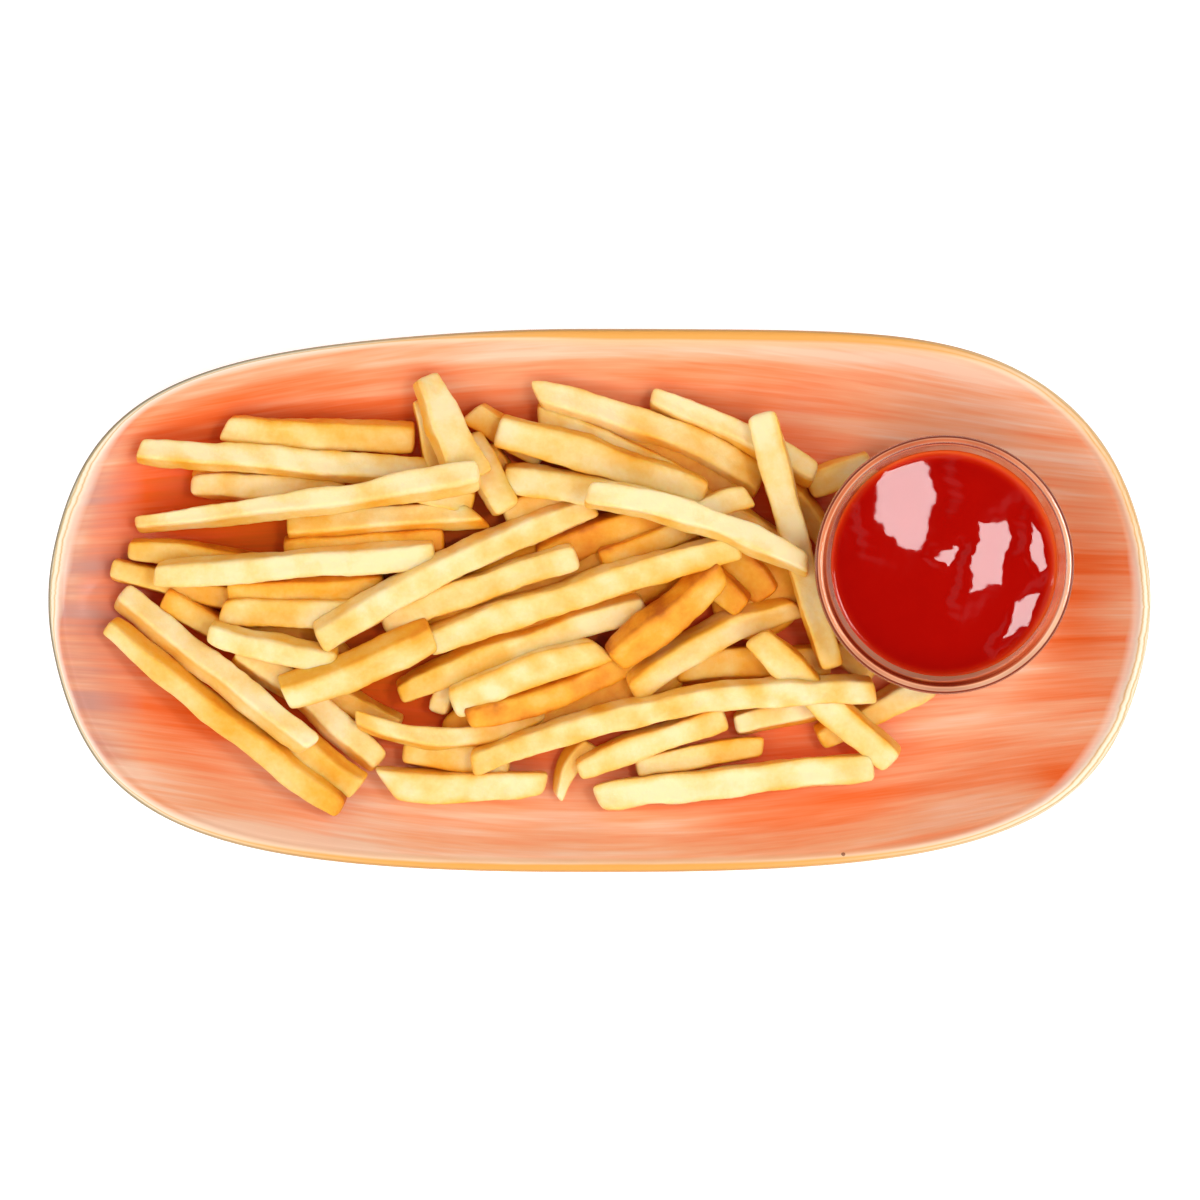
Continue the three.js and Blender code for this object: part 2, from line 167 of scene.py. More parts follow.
def new_material(name, **settings):
    """A material with one shader, whose plain sockets are set by name."""
    material = bpy.data.materials.new(name)
    material.use_nodes = True
    shader = material.node_tree.nodes["Principled BSDF"]
    for socket, value in settings.items():
        shader.inputs[socket.replace("_", " ")].default_value = value
    return material, material.node_tree, shader


def add_node(tree, kind, inputs=None, **settings):
    """A shader node; inputs gives sockets a value or the socket that feeds them."""
    node = tree.nodes.new("ShaderNode" + kind)
    for key, value in settings.items():
        setattr(node, key, value)
    for key, value in (inputs or {}).items():
        if isinstance(value, bpy.types.NodeSocket):
            tree.links.new(value, node.inputs[key])
        else:
            node.inputs[key].default_value = value
    return node


def ramp(tree, factor, stops):
    """A colour ramp through (place, colour) stops."""
    node = add_node(tree, "ValToRGB", {"Fac": factor})
    elements = node.color_ramp.elements
    while len(elements) < len(stops):
        elements.new(1.0)
    for element, (place, color) in zip(elements, stops):
        element.position, element.color = place, color
    return node.outputs["Color"]


def math_node(tree, operation, *values):
    """The result of a math node on sockets or numbers."""
    return add_node(tree, "Math", dict(enumerate(values)), operation=operation).outputs[0]


def remapped(tree, value, before=(0.0, 1.0), after=(0.0, 1.0)):
    """A value moved evenly from one range to another, and held at the ends of it."""
    return add_node(tree, "MapRange", {
        "Value": value, "From Min": before[0], "From Max": before[1],
        "To Min": after[0], "To Max": after[1]}).outputs["Result"]


def point_value(tree, name):
    """A value that the mesh carries for each of its points."""
    return add_node(tree, "Attribute", attribute_name=name).outputs["Fac"]


def noise(tree, vector, scale, detail=3.0, roughness=0.5):
    """Fractal noise of a vector, from 0 to 1."""
    inputs = {"Vector": vector, "Scale": scale, "Detail": detail, "Roughness": roughness}
    return add_node(tree, "TexNoise", inputs).outputs["Fac"]


def stretched(tree, vector, *factors):
    """A vector with each axis scaled."""
    return add_node(tree, "Mapping", {"Vector": vector, "Scale": factors}).outputs["Vector"]


def blend(tree, factor, first, second):
    """Two colours mixed by a factor."""
    return add_node(tree, "Mix", {0: factor, 6: first, 7: second}, data_type="RGBA").outputs[2]


def feed(tree, shader, color, roughness, relief, strength, depth):
    """Gives a shader its colour and roughness, and bumps of a depth in metres from a relief."""
    bump = add_node(tree, "Bump", {"Height": relief, "Strength": strength, "Distance": depth})
    tree.links.new(color, shader.inputs["Base Color"])
    tree.links.new(roughness, shader.inputs["Roughness"])
    tree.links.new(bump.outputs["Normal"], shader.inputs["Normal"])


def glaze_material():
    """Streaks of coral glaze along the plate, a rim of cream and ochre, and a few iron specks.

    The attribute chalky is the share of a dull greyish pink painted over the left end as shade.
    The rim's own coordinate runs from 0 at the outer edge to 1 where the coral begins."""
    material, tree, shader = new_material("coral_glaze", IOR=1.38)
    strokes = add_node(tree, "UVMap", uv_map="strokes").outputs["UV"]
    place = add_node(tree, "TexCoord").outputs["Object"]
    broad = noise(tree, stretched(tree, strokes, 9, 110, 1), 1.0, 4.0, 0.6)
    fine = noise(tree, stretched(tree, strokes, 22, 520, 1), 1.0, 3.0, 0.6)
    patch = noise(tree, stretched(tree, strokes, 13, 30, 1), 1.0, 2.0, 0.5)
    depth = math_node(tree, "MULTIPLY_ADD", broad, 0.55, math_node(tree, "MULTIPLY", fine, 0.27))
    depth = math_node(tree, "MULTIPLY_ADD", patch, 0.30, depth)
    # Paler or deeper glaze from the mesh, with painted shade, painted light and painted reflection
    # in it.
    depth = math_node(tree, "ADD", depth, point_value(tree, "pale_glaze_and_painted_light"))
    coral = ramp(tree, depth, [
        (0.08, srgb(194, 92, 12)), (0.26, srgb(228, 96, 14)), (0.38, srgb(240, 96, 28)),
        (0.48, srgb(244, 118, 62)), (0.57, srgb(247, 143, 94)), (0.67, srgb(248, 171, 128)),
        (0.80, srgb(250, 206, 176)),
    ])
    # A dull greyish pink painted over the left end as shade, broken up by the broad streaks.
    uneven = remapped(tree, broad, (0.38, 0.62), (1.25, 0.35))
    left_end_shade = math_node(tree, "MULTIPLY", point_value(tree, "left_end_shade"), uneven)
    coral = blend(tree, left_end_shade, coral, srgb(206, 148, 134))
    sway = math_node(tree, "SUBTRACT", broad, 0.5)
    across = math_node(tree, "MULTIPLY_ADD", sway, 0.5, point_value(tree, "rim"))
    cream = ramp(tree, across, [
        (0.04, srgb(226, 200, 146)), (0.17, srgb(252, 238, 210)), (0.29, srgb(216, 178, 118)),
        (0.41, srgb(250, 234, 206)), (0.56, srgb(248, 228, 196)), (0.66, srgb(222, 176, 118)),
        (0.76, srgb(250, 230, 206)), (0.95, srgb(250, 222, 200)),
    ])
    ochre = ramp(tree, across, [
        (0.05, srgb(206, 146, 76)), (0.25, srgb(233, 162, 76)), (0.75, srgb(238, 168, 84)),
        (0.95, srgb(249, 206, 162)),
    ])
    rim = blend(tree, point_value(tree, "ochre"), cream, ochre)
    rim = blend(tree, point_value(tree, "line"), rim, srgb(112, 98, 66))
    color = blend(tree, remapped(tree, across, (0.85, 1.5)), rim, coral)
    # One cell in fourteen has an iron speck at its middle.
    cells = add_node(tree, "TexVoronoi", {"Vector": place, "Scale": 75.0})
    lot = add_node(tree, "SeparateColor", {"Color": cells.outputs["Color"]}).outputs["Red"]
    dot = math_node(tree, "LESS_THAN", cells.outputs["Distance"], 0.055)
    speck = math_node(tree, "MULTIPLY", math_node(tree, "GREATER_THAN", lot, 0.93), dot)
    color = blend(tree, math_node(tree, "MULTIPLY", speck, 0.8), color, srgb(120, 62, 40))
    relief = math_node(tree, "ADD", broad, math_node(tree, "MULTIPLY", fine, 0.6))
    feed(tree, shader, color, remapped(tree, fine, after=(0.14, 0.30)), relief, 0.25, 0.0006)
    return material


def edge_bell(middle, spread):
    """A flat-topped bell over the angle round the plate, in degrees."""
    angle = np.linspace(0, 360, PLATE_SIDES, endpoint=False)
    return np.exp(-(((angle - middle + 180) % 360 - 180) / spread) ** 4)


plate_points, plate_inset = plate_surface()
all_points = with_poles(plate_points)
along, across = all_points[:, 0], all_points[:, 1]
# The streaks run along the plate and draw together towards its ends, as the outline does.
gathered = across * (1 + 0.45 * (along / (PLATE_LENGTH / 2)) ** 2)
# The rim is ochre along the middle of both long sides, widest at the back, and cream at the two
# ends. A dark line of bare clay runs round its outer edge, from the back left to the front.
left_end, right_end = edge_bell(165, 19), edge_bell(345, 30)
ochre_share = np.maximum(edge_bell(80, 34), edge_bell(268, 40))
ochre_share = np.maximum(ochre_share, 0.6 * edge_bell(30, 20))
band = 0.0017 + 0.0022 * edge_bell(76, 25) + 0.0011 * edge_bell(268, 40) + 0.0021 * left_end
band += 0.0022 * right_end + 0.0010 * edge_bell(30, 20)
clay = np.clip((0.0011 - plate_inset) / 0.0006, 0, 1) * (0.3 + 0.7 * edge_bell(172, 66))
# The glaze is palest in front of the fries, at the middle of the back, at the front of the left end
# and at the back right, and deepest at the back left. The back right is also paler as painted
# light, where the lamps reach the wall less. The deeper colour under and around the fries is
# painted shade, the darker patch right of the bowl is its painted shadow, and a small darker spot
# lies at the front right. Each place has how much paler it is, its middle x and y, its half length
# and half width, and how steep its edge is. Millimetres.
GLAZE_AND_PAINTED_LIGHT_PLACES = [
    (0.17, -52.5, -62.9, 90, 28.12, 2), (0.06, -22.5, 62.9, 60, 14.8, 2),
    # The two places round the middle of the heap are painted shade under and around the fries.
    (-0.06, -90, 40.7, 52.5, 29.6, 2), (-0.08, -30, 0, 105, 52, 4), (-0.26, -33, 0, 94, 38, 6),
    # The first here is paler partly as painted light at the back right.
    (0.12, 93, 51.8, 45, 25.9, 2), (0.12, -129, -28.12, 15, 29.6, 2),
    # The first here is the bowl's painted shadow, to its right; the second is a small darker spot.
    (-0.20, 129, -1, 11, 18, 2), (-0.16, 126, -48, 8, 4, 2),
]
# Pale bands beside the rim are a painted reflection in the glazed wall: how much paler each is, the
# middle and the spread of its stretch in degrees, and the inset and the depth of the band in
# millimetres.
RIM_REFLECTION_BANDS = [
    (0.14, 86, 32, 6.2, 2.2), (0.10, 240, 50, 5, 4), (0.16, 165, 19, 5.8, 2.6),
    (0.16, 122, 28, 3, 4),
]


def glaze_paleness_and_painted_light(x, y):
    """A slow rise towards the right end, partly painted light where the lamps reach the plate less,
    and a bell curve over each place, some of them painted shade or light. Millimetres.
    """
    pale = 0.07 * np.clip((x - 52.5) / 60, 0, 1)
    for amount, x0, y0, length, width, steepness in GLAZE_AND_PAINTED_LIGHT_PLACES:
        pale += amount * np.exp(-((x - x0) / length) ** steepness - ((y - y0) / width) ** steepness)
    return pale


def painted_rim_reflection(inset):
    """Painted reflection beside the rim: bell curves over the inset, each along its own stretch of
    the edge.
    """
    return sum(amount * edge_bell(middle, spread) * np.exp(-((inset - band_inset) / depth) ** 2)
               for amount, middle, spread, band_inset, depth in RIM_REFLECTION_BANDS)


def with_ends(grid):
    """The grid's values in one list, and two more for the poles."""
    return np.append(grid.ravel(), [grid[0, 0], grid[-1, 0]])


plate = smooth_object(
    "glazed_plate", all_points, *ring_faces(*plate_points.shape[:2]),
    attributes=[("rim", with_ends(plate_inset / band)), ("line", with_ends(clay)),
                ("ochre", with_ends(ochre_share + 0 * plate_inset)),
                ("pale_glaze_and_painted_light", glaze_paleness_and_painted_light(along * 1000, across * 1000)
                 + with_ends(painted_rim_reflection(plate_inset * 1000))),
                ("left_end_shade", 0.8 * np.clip((-along - 0.1245) / 0.0135, 0, 1))])
stroke_map = plate.data.uv_layers.new(name="strokes")
corner_point = np.empty(len(plate.data.loops), np.int32)
plate.data.loops.foreach_get("vertex_index", corner_point)
stroke_map.data.foreach_set("uv", np.stack([along, gathered], 1)[corner_point].ravel())
stand_in(plate, "plate", glaze_material())


# ---------------------------------------------------------------------------
# Dip bowl: a small flared bowl of clear pressed glass with a rounded rim and a thick floor.
# It stands on the plate's well, beside the fries.
# ---------------------------------------------------------------------------
BOWL_X, BOWL_Y, BOWL_BASE = 0.0923, 0.0096, WELL_HEIGHT + 0.0003
BOWL_HEIGHT, BOWL_BASE_RADIUS, BOWL_FLARE, BOWL_CURVE = 0.0328, 0.020, 0.0151, 0.75
BOWL_WALL, BOWL_FLOOR, BOWL_SIDES = 0.0026, 0.0046, 192
FLARE_TOP, RIM_FROM, RIM_SQUARENESS = BOWL_HEIGHT - 0.0008, 0.0308, 0.7


def bowl_radius(height):
    """Outer radius of the bowl: the base's, plus a flare that grows as a power of height."""
    return BOWL_BASE_RADIUS + BOWL_FLARE * (height / FLARE_TOP) ** BOWL_CURVE


RIM_RADIUS = bowl_radius(0.031)


def turned(profile, sides, x, y, z):
    """A profile of (radius, height) carried round an upright axis."""
    angle = full_turn(sides)
    radius, height = profile[:, :1], profile[:, 1:]
    return np.stack([
        x + radius * np.cos(angle), y + radius * np.sin(angle),
        np.broadcast_to(z + height, (len(profile), sides)),
    ], 2)


def bowl_profile():
    """From near the axis under the base, up the outside, over the rim and down to the floor.

    The rim is half of a squared ellipse as wide as the wall."""
    up = np.linspace(0.003, 0.030, 12)
    turn = np.linspace(0, math.pi, 27)
    outward = np.sign(np.cos(turn)) * np.abs(np.cos(turn)) ** RIM_SQUARENESS
    rim_x = RIM_RADIUS - BOWL_WALL / 2 * (1 - outward)
    rim_z = RIM_FROM + (BOWL_HEIGHT - RIM_FROM) * np.sin(turn) ** RIM_SQUARENESS
    points = np.concatenate([
        [[0.006, 0], [0.0185, 0], [0.0204, 0.0006]],
        np.stack([bowl_radius(up), up], 1),
        np.stack([rim_x, rim_z], 1),
        np.stack([bowl_radius(up[:1:-1]) - BOWL_WALL, up[:1:-1]], 1),
        [[bowl_radius(0.005) - BOWL_WALL - 0.0012, 0.0058]],
        [[0.014, BOWL_FLOOR], [0.005, BOWL_FLOOR]],
    ])
    return rounded(points, 2)


def rim_lines(points):
    """How much of the glass is covered with painted colour, and its shade: 0 clear, 0.5 peach, the
    plate seen through it, 1 dark brown.

    These are painted refraction, shade and light. Bell curves across the rim paint a fine dark line
    near its outer edge, a peach band on its top, a dark band inside it that is broadest at the
    front left and gone at the back, and below that a painted peach glow along the front."""
    x, y, z = points[:, 0] - BOWL_X, points[:, 1] - BOWL_Y, points[:, 2] - BOWL_BASE
    inward = (RIM_RADIUS - np.hypot(x, y)) * 1000
    around = np.arctan2(y, x)
    rim = z > BOWL_HEIGHT - 0.003
    line = rim * np.exp(-((inward - 0.55) / 0.36) ** 4)
    band = rim * np.exp(-((inward - 1.45) / 0.6) ** 4)
    inside = z > BOWL_HEIGHT - 0.012
    inner_dark_band = inside * np.exp(-((inward - 2.65) / 0.8) ** 4)
    inner_dark_band *= np.clip(0.5 - 0.6 * np.sin(around + 0.5), 0, 1)
    painted_glow = inside * np.exp(-((inward - 4.3) / 0.75) ** 4)
    painted_glow *= np.clip(0.25 - 0.9 * np.sin(around + 0.2), 0, 1)
    painted_cover = 0.85 * line + 0.9 * inner_dark_band + 0.55 * painted_glow
    painted_cover += band * (0.66 + 0.14 * np.cos(2 * around + 0.3) + 0.08 * np.sin(9 * around))
    peach = np.maximum((0.5 - 0.13 * np.cos(around + 0.8)) * band, 0.38 * painted_glow)
    return np.clip(painted_cover, 0, 1), np.maximum(np.maximum(line, inner_dark_band), peach)


bowl_glass, glass_tree, glass_shader = new_material("clear_glass", Roughness=0.015, IOR=1.46)
# The glass is partly opaque where painted refraction, shade and light cover it.
clearness = math_node(glass_tree, "SUBTRACT", 1.0, point_value(glass_tree, "painted_cover"))
glass_tree.links.new(clearness, glass_shader.inputs["Transmission Weight"])
glass_color = ramp(glass_tree, point_value(glass_tree, "shade"), [
    (0.0, srgb(252, 236, 228)), (0.36, srgb(255, 200, 160)), (0.50, srgb(252, 164, 116)),
    (0.64, srgb(226, 120, 74)), (1.0, srgb(112, 32, 2)),
])
glass_tree.links.new(glass_color, glass_shader.inputs["Base Color"])
bowl_points = turned(bowl_profile(), BOWL_SIDES, BOWL_X, BOWL_Y, BOWL_BASE)
bowl_list = with_poles(bowl_points)
glass_bowl = smooth_object("dip_bowl", bowl_list, *ring_faces(*bowl_points.shape[:2]),
                           attributes=zip(("painted_cover", "shade"), rim_lines(bowl_list)))
stand_in(glass_bowl, "sauce_bowl", bowl_glass)


# ---------------------------------------------------------------------------
# Ketchup: a thick tomato sauce spooned into the bowl to a little below its rim. It wets the
# glass all round, stands higher at the back right and keeps the tilted faces that the spoon left.
# ---------------------------------------------------------------------------
KETCHUP_LEVEL, KETCHUP_SLOPE, KETCHUP_RADIUS = 0.026, 0.035, 0.030
KETCHUP_SIDES, WALL_RINGS, TOP_RINGS = 224, 12, 84
INTO_GLASS = 0.00015
CLING_FROM, CLING_WIDTH, CLING_RISE = 28.6, 1.6, 0.4

# The spoon's faces: middle x and y, half length and half width, and the turn of the long axis.
# Millimetres and radians.
SPOON_FACES = [
    (-10.6, 18.2, 18.5, 13.5, 1.45), (12.6, 2.2, 17, 6.4, 1.12), (1.3, 3.2, 5.5, 4.5, 0.3),
    (-25.4, 9.7, 6.0, 3.0, 1.4), (24.2, 6.8, 13, 3.4, 1.86), (21.4, -13.4, 13, 3.6, 0.92),
]


def tilted_face(x, y, face):
    """A plane that falls to the right, cut off by a steep bell curve over a wavy turned oval.

    It falls by about one in eight, the more so the further left its middle lies."""
    x0, y0, length, width, turn = face
    dx, dy = x - x0, y - y0
    p = dx + 0.6 * np.sin(0.55 * y + 1.0) + 0.25 * np.sin(1.9 * y + 0.5 * x)
    q = dy + 0.6 * np.sin(0.5 * x) + 0.25 * np.sin(1.7 * x - 0.4 * y)
    u = (p * math.cos(turn) + q * math.sin(turn)) / length
    v = (q * math.cos(turn) - p * math.sin(turn)) / width
    return -((0.123 - 0.001 * x0) * dx + 0.05 * dy) * np.exp(-(u * u + v * v) ** 3)


def ketchup_relief(x, y):
    """Height of the sauce over its level, in metres, at places in millimetres from its middle.

    It is the sum of the tilted faces, a fine ripple, and the rise where it clings to the glass."""
    faces = sum(tilted_face(x, y, face) for face in SPOON_FACES)
    bend = 0.75 * x + 0.5 * y + 1.3 * np.sin(0.33 * y)
    faces += 0.012 * np.sin(bend) * np.cos(0.5 * y - 0.3 * x + 0.6)
    cling = np.clip((np.hypot(x, y) - CLING_FROM) / CLING_WIDTH, 0, 1)
    return (faces * (1 - cling ** 2) + CLING_RISE * cling ** 2.2) * 0.001


def inside_radius(height):
    """Inner radius of the glass at a height over its base, and a hair more to leave no gap."""
    return bowl_radius(height) - BOWL_WALL + INTO_GLASS


def ketchup_surface():
    """The wall follows the inside of the glass, and the top is a sloping level and the relief."""
    rise = np.linspace(0.0052, KETCHUP_LEVEL - 0.0012, WALL_RINGS)
    wall = np.stack([inside_radius(rise), rise], 1)
    wall = turned(wall, KETCHUP_SIDES, BOWL_X, BOWL_Y, BOWL_BASE)
    radius = np.linspace(1, 0.02, TOP_RINGS)[:, None] ** 0.9
    angle = full_turn(KETCHUP_SIDES)
    rise_at_edge = KETCHUP_SLOPE * KETCHUP_RADIUS * (np.cos(angle) + np.sin(angle))
    edge = inside_radius(KETCHUP_LEVEL + rise_at_edge)
    x, y = radius * edge * np.cos(angle), radius * edge * np.sin(angle)
    top = KETCHUP_LEVEL + KETCHUP_SLOPE * (x + y) + ketchup_relief(x * 1000, y * 1000)
    surface = np.stack([BOWL_X + x, BOWL_Y + y, BOWL_BASE + top], 2)
    return np.concatenate([wall, surface])


ketchup_gloss, ketchup_tree, ketchup_shader = new_material(
    "ketchup_gloss", Roughness=0.07, IOR=1.42, Specular_IOR_Level=0.28, Subsurface_Weight=0.15,
    Subsurface_Scale=0.002)
ketchup_shader.inputs["Subsurface Radius"].default_value = (1.0, 0.12, 0.04)
pulp = noise(ketchup_tree, add_node(ketchup_tree, "TexCoord").outputs["Object"], 120.0)
thin_film_and_painted_light = math_node(ketchup_tree, "MULTIPLY_ADD", pulp, 0.1, point_value(ketchup_tree, "thin_film_and_painted_light"))
ketchup_red = ramp(ketchup_tree, thin_film_and_painted_light, [
    (0.0, srgb(160, 4, 0)), (0.1, srgb(170, 6, 0)), (0.5, srgb(200, 38, 4)),
    (1.0, srgb(226, 90, 26)),
])
ketchup_tree.links.new(ketchup_red, ketchup_shader.inputs["Base Color"])
ketchup_points = ketchup_surface()
ketchup_list = with_poles(ketchup_points)
# The sauce is a thin orange film at the top where it meets the glass, and its side against the
# glass is painted the same orange as painted light coming through the glass.
FILM, FILM_FROM, FILM_WIDTH = 0.8, 0.0270, 0.0032
from_middle = np.hypot(ketchup_list[:, 0] - BOWL_X, ketchup_list[:, 1] - BOWL_Y)
film = FILM * np.clip((from_middle - FILM_FROM) / FILM_WIDTH, 0, 1) ** 2.2
# The whole side against the glass is painted orange: painted light.
film[:WALL_RINGS * KETCHUP_SIDES] = FILM
ketchup = smooth_object("ketchup_fill", ketchup_list, *ring_faces(*ketchup_points.shape[:2]),
                        attributes=[("thin_film_and_painted_light", film)])
stand_in(ketchup, "ketchup", ketchup_gloss)


# ---------------------------------------------------------------------------
# Fries: sticks of potato cut square, fried pale gold and browner where they lay in the oil.
# They lie where they fell, the last ones across the others, and hide a low heap of more.
# ---------------------------------------------------------------------------
FRY_MAX_TILT, FRY_SETTLE, FRY_CONTACT, FRY_GAP = 9.0, 0.5, 0.86, 0.3
FRY_SIDES, FRY_SEED, GOLDEN_FROM = 44, 700, 0.33

# Each fry from the plate up, in millimetres: start x and y, end x and y, sideways bow, width at
# each end, thickness, turn in degrees, how far the left edge leads at each end, and how brown
# each end is.
FRIES = np.array([
    (-102.5, 47, -50.5, 44.5, -0.5, 8.4, 8.8, 8.0, 12, 4.5, 0, 0.2, 0.42),
    (-112, 31.5, -69.5, 29.5, 0.5, 7.6, 8.0, 7.5, 0, 0, 0, 0.1, 0.3),
    (-86.5, 14, -42.5, 17, 0, 8.0, 8.0, 7.2, 14, 0, 0, 0.45, 0.5),
    (-133.5, 9, -97, 0, -0.5, 7.4, 8.0, 7.0, 0, 0, 0, 0.25, 0.5),
    (-134, -6.5, -70, -56.5, -1, 6.8, 9.8, 8.0, 18, 0, -2, 0.3, 0.48),
    (-100, -24, -65.5, -51, -1, 8.4, 8.6, 7.6, 12, 0, 0, 0.35, 0.35),
    (-119, 1, -83.5, -17.5, -1, 8.4, 8.4, 7.0, 10, 0, 0, 0.45, 0.5),
    (-77, -23.5, -55, -35, -0.5, 8.4, 8.0, 7.0, 0, 0, 0, 0.38, 0.38),
    (-54, -41.5, -24.5, -44.5, 0, 8.2, 8.0, 7.0, 0, 0, 0, 0.3, 0.3),
    (-44.5, -31, -39.5, -16.5, 0, 7.0, 7.0, 6.6, 0, 0, 0, 0.15, 0.3),
    (-11.5, -54, -2.5, -39, 1.5, 3.6, 8.0, 5.4, 20, 2, 0, 0.0, 0.5),
    (10, -46, 45, -40, 0.5, 6.8, 6.8, 7.0, 0, 0, 2, 0.15, 0.3),
    (21, -18, 63.5, -16.5, 0, 10.4, 9.6, 7.6, 0, 0, 0, 0.45, 0.5),
    (60, -38, 91, -22.5, 0, 8.0, 8.0, 7.4, 10, 0, 0, 0.45, 0.05),
    (57, 31.5, 74.5, 38, -0.5, 8.6, 8.6, 7.6, 10, 0, 0, 0.25, 0.3),
    (51, 31, 65, 13.5, 0, 8.0, 7.6, 7.0, 16, 0, 0, 0.45, 0.5),
    (64, -13, 75, -21, 0, 7.0, 7.0, 6.6, 0, 0, 0, 0.35, 0.35),
    (35, 15, 46.5, 1, 0, 9.8, 9.8, 7.6, 18, 0, 0, 0.5, 0.58),
    (23, 12, 39.5, -2, 0, 9.6, 9.6, 8.0, 18, 0, 0, 0.55, 0.55),
    (-16.5, -3, 19, 9.5, 0, 8.6, 8.6, 7.4, 12, 0, 0, 0.6, 0.6),
    (-16.5, 11, 26, 26.5, 1, 10.0, 10.0, 7.6, 18, 0, 0, 0.72, 0.62),
    (0, 11.5, 29, 22, -0.5, 6.8, 6.8, 6.2, 16, 0, 0, 0.5, 0.45),
    (25, 29.5, 56, 12, -0.5, 8.6, 8.6, 7.0, 6, 0, 0, 0.35, 0.45),
    (-35, 52, -15, 39.5, 0, 7.6, 8.0, 7.0, 10, 3, 0, 0.35, 0.3),
    (-31.5, 42, -23, 30.5, 0, 7.0, 7.0, 6.0, 0, 0, 0, 0.35, 0.4),
    (-101.5, 2, -59, 4.5, -0.5, 7.6, 7.6, 7.0, 20, 0, 0, 0.4, 0.5),
    (-26.5, 24, -5.5, 31.5, 0, 7.6, 7.6, 7.4, 10, 0, 0, 0.4, 0.4),
    (-59, -50, -14.5, -50, -1, 9.2, 7.6, 7.6, 5, -7, 2, 0.15, 0.1),
    (-129, 14, -92.5, 9.5, 0.5, 7.4, 7.6, 7.2, 16, 0, 0, 0.35, 0.5),
    (-103, -2.5, -63.5, -3, -0.5, 8.4, 9.8, 6.8, 8, 3, 0, 0.35, 0.18),
    (-98, -13, -60, -44.5, 1, 9.0, 8.2, 7.6, -10, 0, 0, 0.15, 0.15),
    (-125.5, 40.5, -46, 34.5, 0.5, 6.6, 7.8, 7.4, -12, 2, 0, 0.05, 0.15),
    (-55.5, 32, -34.5, 26.5, 0, 7.4, 7.4, 7.0, 0, 0, 0, 0.2, 0.25),
    (-85.5, 19.5, -33, 23.5, 1, 8.2, 7.6, 7.0, -16, 0, -9, 0.3, 0.15),
    (-106, -8.5, -71.5, -16.5, -1, 7.4, 8.6, 7.4, 8, 0, 0, 0.1, 0.1),
    (14, 55.5, 59, 34, 1.5, 7.0, 8.4, 7.4, -8, -2, -1, 0, 0.2),
    (-17, 51, 25, 32, 0.5, 7.0, 7.8, 7.0, 6, -4, 0, 0.2, 0.3),
    (-28, 46.5, 29, 29, 1, 9.8, 8.0, 7.4, 8, 0, 0, 0.2, 0.15),
    (37, -34, 61, -29, 0, 8.4, 8.2, 7.4, 0, 0, 0, 0.05, 0.2),
    (42.5, -9.5, 80.5, -44, -0.5, 8.8, 8.8, 7.8, 14, 3, 0, 0.3, 0.12),
    (-66.5, -32, -14.5, -30, -6.5, 5.4, 7.6, 7.0, -8, 0, 0, 0.2, 0.35),
    (-36.5, -31.5, 11, -14, -2.5, 8.0, 9.0, 7.8, 20, 0, 0, 0.62, 0.7),
    (-1, -54, 75, -45.5, 0.5, 8.8, 8.2, 7.6, 6, -3, 0, 0.05, 0.02),
    (-86, -25, -45.5, -9, -1, 8.4, 8.6, 8.2, 35, 0, 0, 0.15, 0.3),
    (-131, 2, -78, -39.5, 0, 8.6, 7.8, 8.0, -26, 0, 3, 0.08, 0.05),
    (-59.5, -6.5, -6, 12, 1, 8.4, 8.2, 7.0, 6, 0, 0, 0.25, 0.08),
    (-55, -25.5, 12.5, -1.5, 1.5, 9.2, 9.0, 7.6, 18, 0, 0, 0.45, 0.12),
    (3.5, -16, 33, 9.5, -1, 10.2, 8.0, 8.4, 30, 0, 3, 0.6, 0.48),
    (-40.5, -28, 1, -13, 1, 9.0, 8.6, 7.6, 10, 0, -6, 0.12, 0.2),
    (-17.5, 56, 44.5, 32.5, 3, 7.0, 9.2, 7.6, -14, -9, 0, 0.02, 0.3),
    (25.5, 23.5, 41, 28.5, 0.5, 6.4, 8.0, 7.2, 0, 0, -2, 0.1, 0.1),
    (-49, 55, -44, 36, 0, 5.6, 9.4, 7.2, 0, 0, 0, 0.3, 0.4),
    (-36.5, 45, -25, 24.5, 0, 8.0, 8.2, 7.6, -6, 0, 0, 0.15, 0.2),
    (-47.5, 61, -34.5, 32.5, 0, 7.4, 14.6, 8.0, -18, 0, 0, 0.1, 0.18),
    (-6, -46.5, 34.5, -31.5, 0.5, 7.6, 7.6, 7.4, 12, 0, 0, 0.15, 0.1),
    (8.5, -24.5, 54, -1, 3, 8.4, 7.8, 8.0, 31, 0, -5, 0.1, 0.3),
    (-121, 7, -45, 13, -0.5, 7.8, 8.6, 7.6, 10, 2, 0, 0.1, -0.05),
    (-127, 21, -32.5, 34.5, -1, 4.8, 9.6, 7.6, -8, 0, 0, 0.1, 0.05),
    (44, 51, 63.5, -18.5, -0.5, 9.0, 6.8, 7.6, 6, 0, 0, -0.05, 0.25),
    (-47, -11.5, 38, 15, 1, 9.0, 8.2, 7.8, 12, 0, 0, 0.3, 0.22),
    (-35, -45, 75, -24.5, 6, 8.2, 8.6, 7.8, 8, 0, 0, 0.3, 0.15),
    (-76.5, -11, -1.5, 26, 2.5, 10.2, 9.4, 8.0, 14, 0, -2, 0.15, 0.15),
    (-26, 33.5, 27.5, 23.5, 1, 8.4, 8.0, 7.0, 8, -1, 0, 0.15, 0.05),
    (-3.5, 29, 56.5, 9.5, 3, 8.4, 7.8, 7.6, -8, 0, -3, 0.05, 0.1),
])
BOW, START_WIDTH, END_WIDTH, THICKNESS, TURN = range(4, 9)
